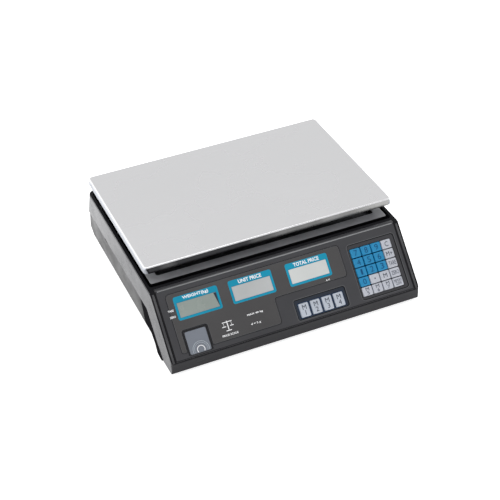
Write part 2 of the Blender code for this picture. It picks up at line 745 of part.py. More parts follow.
def make_load_cell():
    half = CELL / 2
    low = (-half.x, PAN_Y - half.y, CELL_LOW_Z)
    cell = box("load_cell", low, (half.x, PAN_Y + half.y, CELL_LOW_Z + CELL.z), aluminium())
    middle_z = CELL_LOW_Z + half.z
    y_low, y_high = PAN_Y - 20 * MM, PAN_Y + 20 * MM
    for side in (-1, 1):
        centre = (side * CELL_HOLE_X, middle_z)
        cut(cell, cylinder("cell_hole_%d" % side, centre, CELL_HOLE_R, y_low, y_high, axis="Y", steps=24))
    slot = 2.5 * MM
    slot_low, slot_high = (-CELL_HOLE_X, y_low, middle_z - slot), (CELL_HOLE_X, y_high, middle_z + slot)
    cut(cell, box("cell_slot", slot_low, slot_high))
    base_low = (-half.x, PAN_Y - half.y, LOWER_Z + FLOOR + GAP)
    box("load_cell_base", base_low, (-36 * MM, PAN_Y + half.y, CELL_LOW_Z - GAP), zinc_steel())
    centre = (50 * MM, PAN_Y)
    stop_top = CELL_LOW_Z - 0.8 * MM
    stop = cylinder("overload_stop", centre, 3 * MM, 12 * MM, stop_top, zinc_steel(), steps=16)
    join(stop, cylinder("stop_nut", centre, 5.5 * MM, LOWER_Z + FLOOR + GAP, 13 * MM, steps=6))


def make_platform_bracket():
    low_z = CELL_LOW_Z + CELL.z + GAP
    plate_z = low_z + 9.5 * MM
    plate_low = (-58 * MM, PAN_Y - 34 * MM, plate_z)
    plate_high = (64 * MM, PAN_Y + 34 * MM, plate_z + 4 * MM)
    bracket = box("platform_bracket", plate_low, plate_high, aluminium())
    foot_low, foot_high = (36 * MM, PAN_Y - 15 * MM, low_z), (64.5 * MM, PAN_Y + 15 * MM, plate_z + MM)
    join(bracket, box("bracket_foot", foot_low, foot_high))
    for i, centre in enumerate(bracket_columns()):
        name = "bracket_column_%d" % i
        join(bracket, cylinder(name, centre, COLUMN_RADIUS, plate_z + MM, CARRIER_LOW_Z - GAP, steps=12))


# ---------------------------------------------------------------- power and electronics

def make_battery():
    low, high = BATTERY_LOW, BATTERY_LOW + BATTERY_SIZE
    case = material("battery_case", (0.08, 0.08, 0.09), 0.5)
    battery = box("battery", low, high, case)
    for i, y in enumerate((low.y + 12 * MM, high.y - 12 * MM)):
        tab_low, tab_high = (high.x - MM, y - 3 * MM, 30 * MM), (high.x + 5 * MM, y + 3 * MM, 31 * MM)
        join(battery, box("battery_tab_%d" % i, tab_low, tab_high))
    outline = battery_outline(3.2 * MM, 2.7 * MM)
    prism("battery_door", outline, "Z", LOWER_Z, LOWER_Z + 1.3 * MM, housing_plastic())


def make_main_board():
    board = box("main_board", (32 * MM, -64 * MM, 18 * MM), (142 * MM, 4 * MM, 19.6 * MM), circuit_board())
    parts = (
        ("main_chip", 80, -34, 14, 14, 2),
        ("regulator", 120, -12, 10, 8, 12),
        ("buzzer", 52, -16, 12, 12, 9),
        ("connector_front", 60, -57, 30, 6, 8),
        ("connector_cell", 104, -57, 14, 6, 8),
        ("smoothing_capacitor", 128, -44, 10, 10, 16),
    )
    for name, x, y, wide, deep, tall in parts:
        low = Vector((x - wide / 2, y - deep / 2, 19)) * MM
        join(board, box(name, low, low + Vector((wide, deep, tall + 0.6)) * MM))


def make_transformer():
    core = material("transformer_core", (0.12, 0.1, 0.09), 0.5, 0.6)
    low = Vector((92.0, 60.0, 9.2)) * MM
    block = box("transformer", low, low + Vector((46.0, 20.0, 36.0)) * MM, core)
    coil_low, coil_high = low + Vector((8.0, -8.0, 5.0)) * MM, low + Vector((38.0, 28.0, 31.0)) * MM
    join(block, box("transformer_coil", coil_low, coil_high))


def socket_outline(x, half_x, half_w, radius, steps=4):
    """An (x, w) outline centred on the line of the sockets in the leaning back."""
    return rectangle(x - half_x, x + half_x, SOCKET_W - half_w, SOCKET_W + half_w, radius, steps)


def make_power_inlet():
    flange = socket_outline(INLET_X, 13.5 * MM, 10 * MM, 3 * MM)
    inlet = back_plate("power_inlet", flange, LOWER_BACK_N + GAP, FLANGE_N, inner_plastic())
    body = socket_outline(INLET_X, 10.4 * MM, 6.9 * MM, 2 * MM)
    join(inlet, back_plate("inlet_body", body, -20 * MM, FLANGE_N - 0.5 * MM))
    socket = socket_outline(INLET_X, 8.4 * MM, 4.4 * MM, 4.2 * MM, 6)
    cut(inlet, back_plate("inlet_socket", socket, -10.6 * MM, 5 * MM))
    for side in (-1, 1):
        centre = (INLET_X + side * 4.3 * MM, SOCKET_W)
        pin = cylinder("inlet_pin_%d" % side, centre, 1.2 * MM, -13 * MM, -MM, axis="Y", steps=12)
        join(inlet, on_back(pin))


def make_power_switch():
    bezel = socket_outline(SWITCH_X, 12 * MM, 8.5 * MM, MM)
    body = back_plate("switch_body", bezel, LOWER_BACK_N + GAP, FLANGE_N, inner_plastic())
    case = socket_outline(SWITCH_X, 9.7 * MM, 6.7 * MM, 0.0)
    join(body, back_plate("switch_case", case, -17 * MM, FLANGE_N - 0.5 * MM))
    pocket = socket_outline(SWITCH_X, 8.1 * MM, 4.9 * MM, 0.0)
    cut(body, back_plate("switch_pocket", pocket, ROCKER_PIVOT_N - 4 * MM, 5 * MM))
    turn = Matrix.Rotation(ROCKER_REST, 2)
    shape = ((-7.2, 3.2), (-5.5, -2.5), (5.5, -2.5), (7.2, 3.2), (0.0, 1.7))
    corners = [turn @ Vector(point) * MM for point in shape]
    outline = [(SWITCH_X + corner.x, ROCKER_PIVOT_N + corner.y) for corner in corners]
    red = material("switch_red", (0.5, 0.02, 0.02), 0.35)
    half = 4.6 * MM
    on_back(prism("switch_rocker", outline, "Z", SOCKET_W - half, SOCKET_W + half, red))


def make_rear_display():
    tint = material("rear_window", (0.06, 0.055, 0.055), 0.08, alpha=0.9)
    low_w, high_w = REAR_WINDOW_W
    outline = rectangle(-REAR_WINDOW_X, REAR_WINDOW_X, low_w, high_w, 2.7 * MM)
    back_plate("rear_window", outline, -MM, -0.1 * MM, tint)
    low, high = (-124 * MM, -7 * MM, low_w + 1.5 * MM), (124 * MM, -4.2 * MM, high_w - 2 * MM)
    back_box("rear_lcd", low, high, lcd_glass())
    low, high = (-128 * MM, -9 * MM, low_w - MM), (128 * MM, -7.4 * MM, high_w - 1.2 * MM)
    back_box("rear_display_board", low, high, circuit_board())


# ---------------------------------------------------------------- feet and screws

def make_feet():
    for name, (x, y) in FOOT_PLACES.items():
        foot = cylinder(name, (x, y), FOOT_RADIUS, 0, 5.4 * MM, rubber(), steps=28)
        join(foot, cylinder(name + "_stud", (x, y), STUD_RADIUS, 4 * MM, 22 * MM, steps=16))


def make_case_screws():
    for name, (x, y) in SCREW_PLACES.items():
        screw = cylinder(name, (x, y), 3.1 * MM, 6.4 * MM, 7.8 * MM, zinc_steel(), steps=16)
        join(screw, cylinder(name + "_shank", (x, y), 1.3 * MM, 7 * MM, 22 * MM, steps=12))


def centre_depth():
    """Move everything so that the middle of the scale's depth lies over the origin."""
    middle = (FRONT_Y + back_y(HEEL_Z, LOWER_BACK_N)) / 2
    for obj in bpy.data.objects:
        obj.location.y -= middle


def main():
    clear_scene()
    make_upper_housing()
    make_lower_housing()
    make_front_panel()
    make_displays()
    make_level()
    make_keys()
    make_keypad()
    make_pan()
    make_pan_carrier()
    make_load_cell()
    make_platform_bracket()
    make_battery()
    make_main_board()
    make_transformer()
    make_power_inlet()
    make_power_switch()
    make_rear_display()
    make_feet()
    make_case_screws()
    centre_depth()


main()
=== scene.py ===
"""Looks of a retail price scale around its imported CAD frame: finishes, printing, displays and studio."""

import json
import math

import bpy
from mathutils import Matrix, Vector


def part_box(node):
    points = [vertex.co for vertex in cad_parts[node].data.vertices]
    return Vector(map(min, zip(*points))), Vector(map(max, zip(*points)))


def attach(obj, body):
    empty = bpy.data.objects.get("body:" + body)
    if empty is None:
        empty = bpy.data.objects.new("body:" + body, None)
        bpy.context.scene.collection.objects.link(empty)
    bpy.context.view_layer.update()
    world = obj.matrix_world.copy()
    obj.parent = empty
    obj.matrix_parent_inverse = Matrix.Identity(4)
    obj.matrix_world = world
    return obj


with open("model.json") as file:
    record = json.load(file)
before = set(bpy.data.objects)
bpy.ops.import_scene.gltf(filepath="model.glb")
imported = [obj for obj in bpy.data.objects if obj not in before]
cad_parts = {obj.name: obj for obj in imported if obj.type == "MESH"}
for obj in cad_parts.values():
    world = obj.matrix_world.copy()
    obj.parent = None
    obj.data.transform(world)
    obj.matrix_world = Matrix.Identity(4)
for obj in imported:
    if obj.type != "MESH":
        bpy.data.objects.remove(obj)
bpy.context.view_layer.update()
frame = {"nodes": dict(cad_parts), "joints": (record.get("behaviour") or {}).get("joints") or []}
NODES = frame["nodes"]
JOINTS = {joint["name"]: joint for joint in frame["joints"]}
MM = 0.001

# Camera: where it stands around the scale, and how it looks at it
CAMERA_TARGET = Vector((4.1, -6.9, 30.0)) * MM
CAMERA_AZIMUTH = math.radians(-21.24)
CAMERA_ELEVATION = math.radians(36.09)
CAMERA_ROLL = math.radians(-3.29)
CAMERA_DISTANCE = 1.7414
CAMERA_LENS = 93.6

# Printing: how far it stands off the surface it is printed on, and how thick it is
INK_LIFT = 0.02 * MM
INK_DEPTH = 0.05 * MM


# ---------------------------------------------------------------- camera and studio

def make_camera():
    flat = math.cos(CAMERA_ELEVATION)
    side, front = math.sin(CAMERA_AZIMUTH) * flat, -math.cos(CAMERA_AZIMUTH) * flat
    back = Vector((side, front, math.sin(CAMERA_ELEVATION)))
    right = Matrix.Rotation(CAMERA_ROLL, 3, back) @ Vector((0, 0, 1)).cross(back).normalized()
    data = bpy.data.cameras.new("camera")
    data.lens = CAMERA_LENS
    data.sensor_width = 36.0
    data.clip_end = 50.0
    camera = bpy.data.objects.new("camera", data)
    bpy.context.scene.collection.objects.link(camera)
    basis = Matrix((right, back.cross(right), back)).transposed().to_4x4()
    camera.matrix_world = Matrix.Translation(CAMERA_TARGET + back * CAMERA_DISTANCE) @ basis
    bpy.context.scene.camera = camera


def make_floor():
    made, nodes, links, shader = new_material("floor_white")
    shader.inputs["Base Color"].default_value = (0.9, 0.9, 0.9, 1)
    shader.inputs["Roughness"].default_value = 0.9
    shader.inputs["Emission Color"].default_value = (1.0, 1.0, 1.0, 1)
    shader.inputs["Emission Strength"].default_value = 0.8
    floor = new_object("floor", [(-30, -30, 0), (30, -30, 0), (30, 30, 0), (-30, 30, 0)], [(0, 1, 2, 3)])
    floor.data.materials.append(made)


def make_world():
    """A plain studio sky that is brighter behind the scale than on the operator's side."""
    world = bpy.data.worlds.new("studio")
    world.use_nodes = True
    nodes, links = world.node_tree.nodes, world.node_tree.links
    coordinates = nodes.new("ShaderNodeTexCoord")
    mapping = nodes.new("ShaderNodeMapping")
    mapping.inputs["Rotation"].default_value = (math.radians(55), 0, 0)
    split = nodes.new("ShaderNodeSeparateXYZ")
    ramp = nodes.new("ShaderNodeValToRGB")
    ramp.color_ramp.elements[0].color = (0.62, 0.62, 0.64, 1)
    ramp.color_ramp.elements[1].position = 0.75
    ramp.color_ramp.elements[1].color = (1.0, 1.0, 1.0, 1)
    links.new(coordinates.outputs["Generated"], mapping.inputs["Vector"])
    links.new(mapping.outputs["Vector"], split.inputs["Vector"])
    links.new(split.outputs["Z"], ramp.inputs["Fac"])
    links.new(ramp.outputs["Color"], nodes["Background"].inputs["Color"])
    nodes["Background"].inputs["Strength"].default_value = 0.95
    bpy.context.scene.world = world


def area_light(name, place, aim, size, power):
    data = bpy.data.lights.new(name, "AREA")
    data.shape = "RECTANGLE"
    data.size, data.size_y = size
    data.energy = power
    light = bpy.data.objects.new(name, data)
    bpy.context.scene.collection.objects.link(light)
    light.location = place
    light.rotation_euler = (Vector(aim) - Vector(place)).to_track_quat("-Z", "Y").to_euler()


def make_lights():
    area_light("softbox_left", (-1.9, 0.2, 1.3), (0, 0, 0.05), (1.2, 1.0), 7)
    area_light("softbox_top", (0.2, 0.5, 2.2), (0, 0, 0.05), (1.2, 1.2), 7)


# ---------------------------------------------------------------- materials

def new_material(name):
    made = bpy.data.materials.new(name)
    made.use_nodes = True
    nodes, links = made.node_tree.nodes, made.node_tree.links
    return made, nodes, links, nodes["Principled BSDF"]


def noise(nodes, links, scale, detail=3.0, stretch=(1, 1, 1)):
    """Noise in object space; stretch scales the three axes for grain with a direction."""
    coordinates = nodes.new("ShaderNodeTexCoord")
    mapping = nodes.new("ShaderNodeMapping")
    mapping.inputs["Scale"].default_value = stretch
    texture = nodes.new("ShaderNodeTexNoise")
    texture.inputs["Scale"].default_value = scale
    texture.inputs["Detail"].default_value = detail
    links.new(coordinates.outputs["Object"], mapping.inputs["Vector"])
    links.new(mapping.outputs["Vector"], texture.inputs["Vector"])
    return texture.outputs["Fac"]


def spread(nodes, links, source, low, high, first=0.3, last=0.7):
    """Map a value, by default a noise that mostly lies between 0.3 and 0.7, to a range."""
    ranged = nodes.new("ShaderNodeMapRange")
    ranged.inputs["From Min"].default_value = first
    ranged.inputs["From Max"].default_value = last
    ranged.inputs["To Min"].default_value = low
    ranged.inputs["To Max"].default_value = high
    links.new(source, ranged.inputs["Value"])
    return ranged.outputs["Result"]


def tint(nodes, links, source, first, second, low=0.3, high=0.7):
    ramp = nodes.new("ShaderNodeValToRGB")
    ramp.color_ramp.elements[0].position = low
    ramp.color_ramp.elements[1].position = high
    ramp.color_ramp.elements[0].color = (*first, 1)
    ramp.color_ramp.elements[1].color = (*second, 1)
    links.new(source, ramp.inputs["Fac"])
    return ramp.outputs["Color"]


def mixed(nodes, links, share, first, second):
    """Blend two colours, each a socket, by a share."""
    blend = nodes.new("ShaderNodeMix")
    blend.data_type = "RGBA"
    links.new(share, blend.inputs["Factor"])
    links.new(first, blend.inputs[6])
    links.new(second, blend.inputs[7])
    return blend.outputs[2]


def bump(nodes, links, shader, source, strength, depth):
    relief = nodes.new("ShaderNodeBump")
    relief.inputs["Strength"].default_value = strength
    relief.inputs["Distance"].default_value = depth
    links.new(source, relief.inputs["Height"])
    links.new(relief.outputs["Normal"], shader.inputs["Normal"])


def moulded(name, colour, roughness, grain=2600.0, strength=0.25, gloss=0.5, coat=0.0, sheen=0.0):
    """Moulded plastic: fine grain, slow changes of gloss and a slight unevenness of colour."""
    made, nodes, links, shader = new_material(name)
    lighter = tuple(min(1.0, c * 1.1 + 0.001) for c in colour)
    darker = tuple(c * 0.92 for c in colour)
    slow = noise(nodes, links, 14.0, 4.0)
    links.new(tint(nodes, links, slow, darker, lighter), shader.inputs["Base Color"])
    smudge = noise(nodes, links, 42.0, 5.0)
    links.new(spread(nodes, links, smudge, roughness * 0.85, roughness * 1.18), shader.inputs["Roughness"])
    shader.inputs["Specular IOR Level"].default_value = gloss
    shader.inputs["Coat Weight"].default_value = coat
    shader.inputs["Coat Roughness"].default_value = 0.08
    shader.inputs["Sheen Weight"].default_value = sheen
    shader.inputs["Sheen Roughness"].default_value = 0.3
    shader.inputs["Sheen Tint"].default_value = (0.86, 0.89, 1.0, 1)
    bump(nodes, links, shader, noise(nodes, links, grain, 2.0), strength, 0.03 * MM)
    return made


def brushed(name, colour, roughness, stretch, strength=0.12):
    """Sheet metal with fine brushing along one axis and faint scratches."""
    made, nodes, links, shader = new_material(name)
    shader.inputs["Metallic"].default_value = 1.0
    lines = noise(nodes, links, 60.0, 6.0, stretch)
    darker = tuple(c * 0.965 for c in colour)
    links.new(tint(nodes, links, lines, darker, colour), shader.inputs["Base Color"])
    smudge = noise(nodes, links, 9.0, 4.0)
    links.new(spread(nodes, links, smudge, roughness * 0.88, roughness * 1.15), shader.inputs["Roughness"])
    bump(nodes, links, shader, lines, strength, 0.01 * MM)
    return made


def pan_steel():
    """Polished sheet with light painted into its colour by the way a face points, after one view of it under
    studio light.

    Pale on top, a near-white painted highlight where the edge rolls over, painted reflections dark and
    patchy in front and blue-gray at the sides.
    """
    made, nodes, links, shader = new_material("pan_steel_painted_reflections")
    shader.inputs["Metallic"].default_value = 1.0
    lines = noise(nodes, links, 60.0, 6.0, (1.0, 14.0, 14.0))
    top = tint(nodes, links, lines, (0.655, 0.655, 0.665), (0.67, 0.67, 0.68))
    # Painted reflections: the front skirt dark with lighter patches, the side skirts blue-gray, picked by
    # the way each face points
    patches = noise(nodes, links, 9.0, 2.0, (1.0, 0.2, 0.2))
    front_skirt_painted_reflection = tint(nodes, links, patches, (0.03, 0.03, 0.032), (0.3, 0.3, 0.295), 0.44, 0.68)
    side_skirt_painted_reflection = tint(nodes, links, lines, (0.42, 0.44, 0.48), (0.47, 0.49, 0.53))
    geometry = nodes.new("ShaderNodeNewGeometry")
    facing = nodes.new("ShaderNodeSeparateXYZ")
    links.new(geometry.outputs["Normal"], facing.inputs["Vector"])
    upright = spread(nodes, links, facing.outputs["Z"], 1.0, 0.0, 0.2, 0.3)
    edge_highlight_mask = spread(nodes, links, facing.outputs["Z"], 1.0, 0.0, 0.97, 0.998)
    # Painted highlight: near-white where the edge rolls over
    painted_edge_highlight = tint(nodes, links, lines, (0.93, 0.93, 0.94), (0.97, 0.97, 0.98))
    top = mixed(nodes, links, edge_highlight_mask, top, painted_edge_highlight)
    ahead = spread(nodes, links, facing.outputs["Y"], 1.0, 0.0, -0.9, -0.6)
    skirt = mixed(nodes, links, ahead, side_skirt_painted_reflection, front_skirt_painted_reflection)
    links.new(mixed(nodes, links, upright, top, skirt), shader.inputs["Base Color"])
    smudge = noise(nodes, links, 9.0, 4.0)
    links.new(spread(nodes, links, smudge, 0.24, 0.31), shader.inputs["Roughness"])
    bump(nodes, links, shader, lines, 0.02, 0.01 * MM)
    return made


def along(nodes, links, axis, first, last, low, high):
    """A value that changes from low to high between two places along an axis of the scale."""
    coordinates = nodes.new("ShaderNodeTexCoord")
    split = nodes.new("ShaderNodeSeparateXYZ")
    links.new(coordinates.outputs["Object"], split.inputs["Vector"])
    return spread(nodes, links, split.outputs[axis], low, high, first, last)


def times(nodes, links, first, second):
    product = nodes.new("ShaderNodeMath")
    product.operation = "MULTIPLY"
    links.new(first, product.inputs[0])
    links.new(second, product.inputs[1])
    return product.outputs["Value"]


def lower_plastic():
    """The lower shell's black plastic: satin, and dull where the flanks turn in under the front."""
    made = moulded("lower_black", (0.013, 0.013, 0.014), 0.36, strength=0.1)
    nodes, links = made.node_tree.nodes, made.node_tree.links
    dulled = along(nodes, links, "Y", -62 * MM, -38 * MM, 0.0, 0.17)
    links.new(dulled, nodes["Principled BSDF"].inputs["Specular IOR Level"])
    return made


def housing_plastic():
    """The upper shell's black plastic: glossy at the back, duller towards the front and at the rim."""
    made = moulded("housing_black", (0.016, 0.016, 0.018), 0.24, strength=0.05, sheen=0.12)
    nodes, links = made.node_tree.nodes, made.node_tree.links
    ahead = along(nodes, links, "Y", -140 * MM, 100 * MM, 0.13, 0.3)
    below_rim = along(nodes, links, "Z", 85.4 * MM, 86.2 * MM, 1.0, 0.08)
    gloss = times(nodes, links, ahead, below_rim)
    links.new(gloss, nodes["Principled BSDF"].inputs["Specular IOR Level"])
    return made


def carrier_plastic():
    """The pan carrier: the rims on top are coloured pale as a painted highlight, the faces and floors below
    them near black as painted shade.
    """
    made = moulded("carrier_black", (0.02, 0.02, 0.022), 0.4, 2200.0, 0.3)
    nodes, links = made.node_tree.nodes, made.node_tree.links
    rim_and_floor_noise = noise(nodes, links, 50.0, 3.0)
    # Painted highlight: the pale rim colour on top stands in for light on the rims
    rim = tint(nodes, links, rim_and_floor_noise, (0.38, 0.385, 0.395), (0.48, 0.485, 0.495))
    # Painted shade: near black below the rims, under the pan
    black = tint(nodes, links, rim_and_floor_noise, (0.002, 0.002, 0.0025), (0.004, 0.004, 0.005))
    high = along(nodes, links, "Z", 89.2 * MM, 89.8 * MM, 0.0, 1.0)
    under_posts = along(nodes, links, "Z", 90.2 * MM, 90.8 * MM, 1.0, 0.0)
    share = times(nodes, links, high, under_posts)
    links.new(mixed(nodes, links, share, black, rim), nodes["Principled BSDF"].inputs["Base Color"])
    return made


def ink(name, colour, roughness=0.35):
    return moulded(name, colour, roughness, 5200.0, 0.08, gloss=0.15)


def make_finishes():
    return {
        "housing": housing_plastic(),
        "panel": moulded("panel_black", (0.05, 0.05, 0.054), 0.34, 2200.0, 0.25, gloss=0.4),
        "lower": lower_plastic(),
        "carrier": carrier_plastic(),
        # Painted highlight: pale gray for the crease ridge
        "crest": moulded("crest_painted_highlight", (0.26, 0.265, 0.27), 0.2, strength=0.05),
        # Painted highlight: pale gray for the lips round the key recesses and the strip inside the label's
        # edge
        "lip": moulded("lip_painted_highlight", (0.12, 0.124, 0.13), 0.2, strength=0.05),
        "fitting": moulded("fitting_black", (0.02, 0.02, 0.022), 0.42),
        "label": moulded("label_smoke", (0.06, 0.058, 0.058), 0.14, 5200.0, 0.05, gloss=0.6),
        "groove": moulded("groove_black", (0.004, 0.004, 0.005), 0.5, gloss=0.2),
        "cyan": ink("frame_cyan", (0.012, 0.3, 0.46), 0.3),
        # Painted shade: the deeper cyan of the displays' inner lips stands in for the shade of their frames
        "cyan_painted_shade": ink("frame_cyan_painted_shade", (0.006, 0.17, 0.3), 0.3),
        "white_ink": ink("print_white", (0.95, 0.96, 0.97)),
        "dark_ink": ink("print_slate", (0.03, 0.04, 0.065)),
        "blue_ink": ink("print_deep_blue", (0.008, 0.08, 0.2)),
        "recess": moulded("recess_blue_black", (0.012, 0.02, 0.035), 0.4),
        "key_edge": ink("memory_outline_blue", (0.01, 0.05, 0.14)),
        "key_blue": moulded("cap_blue", (0.012, 0.25, 0.49), 0.38, 2600.0, 0.2),
        "key_white": moulded("cap_white", (0.53, 0.55, 0.6), 0.4, 2600.0, 0.2),
        "key_memory": moulded("cap_pale_blue", (0.5, 0.54, 0.6), 0.4, 2600.0, 0.2),
        "rubber": moulded("foot_rubber", (0.02, 0.02, 0.02), 0.75, 1500.0, 0.6),
        "mat": moulded("mat_navy", (0.006, 0.012, 0.024), 0.7, 1500.0, 0.4),
        "steel": pan_steel(),
        "zinc": brushed("zinc_plate", (0.55, 0.55, 0.57), 0.35, (4.0, 4.0, 1.0)),
        "alloy": brushed("milled_alloy", (0.72, 0.73, 0.75), 0.32, (8.0, 1.0, 8.0)),
        "lcd_green": moulded("lcd_gray_green", (0.3, 0.345, 0.315), 0.25, 5200.0, 0.05, coat=0.4),
        "lcd_gray": moulded("lcd_gray", (0.5, 0.515, 0.51), 0.25, 5200.0, 0.05, coat=0.4),
        # Painted reflection: the total price glass is lighter and mottled in place of a reflection on it
        "lcd_painted_reflection": moulded("lcd_gray_painted_reflection", (0.64, 0.66, 0.64), 0.22, 900.0, 0.2, coat=0.6),
        "red": moulded("rocker_red", (0.45, 0.015, 0.015), 0.3, 2600.0, 0.1),
        "board": moulded("board_green", (0.015, 0.13, 0.05), 0.4, 900.0, 0.4),
        "battery": moulded("battery_gray", (0.08, 0.08, 0.09), 0.5),
        "core": moulded("varnished_core", (0.1, 0.07, 0.05), 0.4),
        "glaze": moulded("level_body", (0.5, 0.56, 0.6), 0.12, 5200.0, 0.05, coat=0.5),
        "level_blue": moulded("level_window_blue", (0.19, 0.21, 0.245), 0.14, 700.0, 0.1, coat=0.6),
    }


# ---------------------------------------------------------------- mesh helpers

SHARP_ANGLE = math.radians(28.0)
WELD_DISTANCE = 0.005 * MM

def new_object(name, vertices, faces):
    mesh = bpy.data.meshes.new(name)
    mesh.from_pydata(vertices, [], faces)
    obj = bpy.data.objects.new(name, mesh)
    bpy.context.scene.collection.objects.link(obj)
    return obj


def refine(node, finish, bevel=0.35 * MM, segments=2, flat=0.6):
    """Give a CAD node its finish and soft edges; its own mesh is left as it is.

    The planar step merges flat facets. It closes a hole in a flat face, so flat=0 leaves it out.
    """
    obj = NODES[node]
    obj.data.materials.clear()
    obj.data.materials.append(finish)
    if "custom_normal" in obj.data.attributes:
        obj.data.attributes.remove(obj.data.attributes["custom_normal"])
    obj.data.shade_smooth()
    weld = obj.modifiers.new("weld", "WELD")
    weld.merge_threshold = WELD_DISTANCE
    if flat:
        planar = obj.modifiers.new("planar", "DECIMATE")
        planar.decimate_type = "DISSOLVE"
        planar.angle_limit = math.radians(flat)
    if bevel:
        edge = obj.modifiers.new("edge", "BEVEL")
        edge.width = bevel
        edge.segments = segments
        edge.limit_method = "ANGLE"
        edge.angle_limit = SHARP_ANGLE
        edge.miter_outer = "MITER_ARC"
    normals = obj.modifiers.new("normals", "WEIGHTED_NORMAL")
    normals.weight = 100
    return obj


def rounded(low_a, high_a, low_b, high_b, radius, steps=6):
    """A rectangle with round corners, anticlockwise."""
    points = []
    centres = (
        (high_a - radius, high_b - radius, 0),
        (low_a + radius, high_b - radius, 90),
        (low_a + radius, low_b + radius, 180),
        (high_a - radius, low_b + radius, 270),
    )
    for a, b, start in centres:
        for k in range(steps + 1):
            angle = math.radians(start + 90 * k / steps)
            points.append((a + radius * math.cos(angle), b + radius * math.sin(angle)))
    return points


def flat_piece(name, outlines, depth, finish):
    """A flat sheet from closed outlines; an outline inside another is a hole. Its base lies at z = 0."""
    curve = bpy.data.curves.new(name, "CURVE")
    curve.dimensions = "2D"
    curve.fill_mode = "BOTH"
    curve.extrude = depth / 2
    for outline in outlines:
        spline = curve.splines.new("POLY")
        spline.points.add(len(outline) - 1)
        for point, (a, b) in zip(spline.points, outline):
            point.co = (a, b, 0, 1)
        spline.use_cyclic_u = True
    obj = to_mesh(name, curve, finish)
    obj.data.transform(Matrix.Translation((0, 0, depth / 2)))
    return obj


def lettering(name, text, width, height, finish, weight=0.03):
    """Words cut from thin sheet and stretched to a width and a height in mm, centred on the origin."""
    curve = bpy.data.curves.new(name, "FONT")
    curve.body = text
    curve.size = 1.0
    curve.align_x = "CENTER"
    curve.space_line = 0.8
    curve.resolution_u = 3
    curve.extrude = 0.5
    curve.offset = weight
    obj = to_mesh(name, curve, finish)
    xs = [vertex.co.x for vertex in obj.data.vertices]
    ys = [vertex.co.y for vertex in obj.data.vertices]
    middle = Vector(((min(xs) + max(xs)) / 2, (min(ys) + max(ys)) / 2, -0.5))
    stretch = (width * MM / (max(xs) - min(xs)), height * MM / (max(ys) - min(ys)), INK_DEPTH)
    obj.data.transform(Matrix.Diagonal((*stretch, 1)) @ Matrix.Translation(-middle))
    return obj


def to_mesh(name, curve, finish):
    source = bpy.data.objects.new(name + "_curve", curve)
    bpy.context.scene.collection.objects.link(source)
    bpy.context.view_layer.update()
    mesh = bpy.data.meshes.new_from_object(source.evaluated_get(bpy.context.evaluated_depsgraph_get()))
    bpy.data.objects.remove(source)
    bpy.data.curves.remove(curve)
    mesh.name = name
    mesh.materials.clear()
    mesh.materials.append(finish)
    obj = bpy.data.objects.new(name, mesh)
    bpy.context.scene.collection.objects.link(obj)
    return obj


# ---------------------------------------------------------------- flat faces used as drawing boards

class Board:
    """A flat face of the scale with its own axes: u across, v down, n out."""

    def __init__(self, origin, across, normal):
        self.origin, self.across, self.normal = Vector(origin), Vector(across), Vector(normal)
        self.down = self.across.cross(self.normal)

    def place(self, obj, u, v, n, body="housing", slot="housing_plastic"):
        basis = Matrix((self.across, -self.down, self.normal)).transposed().to_4x4()
        spot = self.origin + self.across * u + self.down * v + self.normal * n
        obj.matrix_world = Matrix.Translation(spot) @ basis
        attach(obj, body)
        return obj

    def extent(self, node):
        """The lowest and highest u, v and n of a CAD node."""
        offsets = [vertex.co - self.origin for vertex in NODES[node].data.vertices]
        axes = (self.across, self.down, self.normal)
        return [(min(o.dot(axis) for o in offsets), max(o.dot(axis) for o in offsets)) for axis in axes]


def slope_board():
    """The operator's slope: u from the middle, v from its upper edge, n out from the panel."""
    normal = -Vector(JOINTS["key_7_press"]["axis"]).normalized()
    reach = max(vertex.co.dot(normal) for vertex in NODES["front_panel"].data.vertices)
    rim_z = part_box("upper_housing")[1].z
    return Board((0, (reach - normal.z * rim_z) / normal.y, rim_z), (1, 0, 0), normal)


def back_board():
    """The customer's window in the leaning back: u from the middle as the customer sees it."""
    lean = Vector(JOINTS["power_switch"]["axis"]).normalized()
    normal = Vector((-1, 0, 0)).cross(lean)
    reach = max(vertex.co.dot(normal) for vertex in NODES["rear_window"].data.vertices)
    rim_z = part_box("upper_housing")[1].z
    return Board((0, (reach - normal.z * rim_z) / normal.y, rim_z), (-1, 0, 0), normal)


SLOPE = slope_board()
BACK = back_board()


# ---------------------------------------------------------------- finishes on the CAD nodes

def finish_nodes(f):
    refine("upper_housing", f["housing"], 0.8 * MM, 3)
    refine("lower_housing", f["lower"], 0.4 * MM)
    refine("battery_door", f["lower"], 0.3 * MM)
    refine("front_panel", f["panel"], 0.35 * MM, flat=0.0)
    refine("pan_carrier", f["carrier"], 0.6 * MM, 3)
    refine("pan", f["steel"], 0.0)
    refine("platform_bracket", f["alloy"])
    refine("load_cell", f["alloy"])
    refine("display_lens", f["label"], 0.1 * MM)
    refine("rear_window", f["label"], 0.1 * MM)
    refine("level_window", f["level_blue"], 0.2 * MM)
    refine("level_vial", f["glaze"], 0.2 * MM)
    refine("keypad_mat", f["mat"], 0.1 * MM)
    refine("switch_rocker", f["red"], 0.4 * MM)
    refine("switch_body", f["fitting"], 0.3 * MM)
    refine("power_inlet", f["fitting"], 0.2 * MM)
    refine("battery", f["battery"])
    refine("transformer", f["core"])
    for name in ("load_cell_base", "overload_stop"):
        refine(name, f["zinc"])
    for name in ("display_board", "keypad_board", "main_board", "rear_display_board"):
        refine(name, f["board"], 0.0)
    for name in ("lcd_weight", "lcd_unit_price", "lcd_total_price", "rear_lcd"):
        refine(name, f["lcd_green"], 0.1 * MM)
    for name in NODES:
        if name.startswith("foot_"):
            refine(name, f["rubber"], 0.6 * MM, 3)
        elif name.startswith("case_screw"):
            refine(name, f["zinc"], 0.15 * MM)


# ---------------------------------------------------------------- keys and their legends

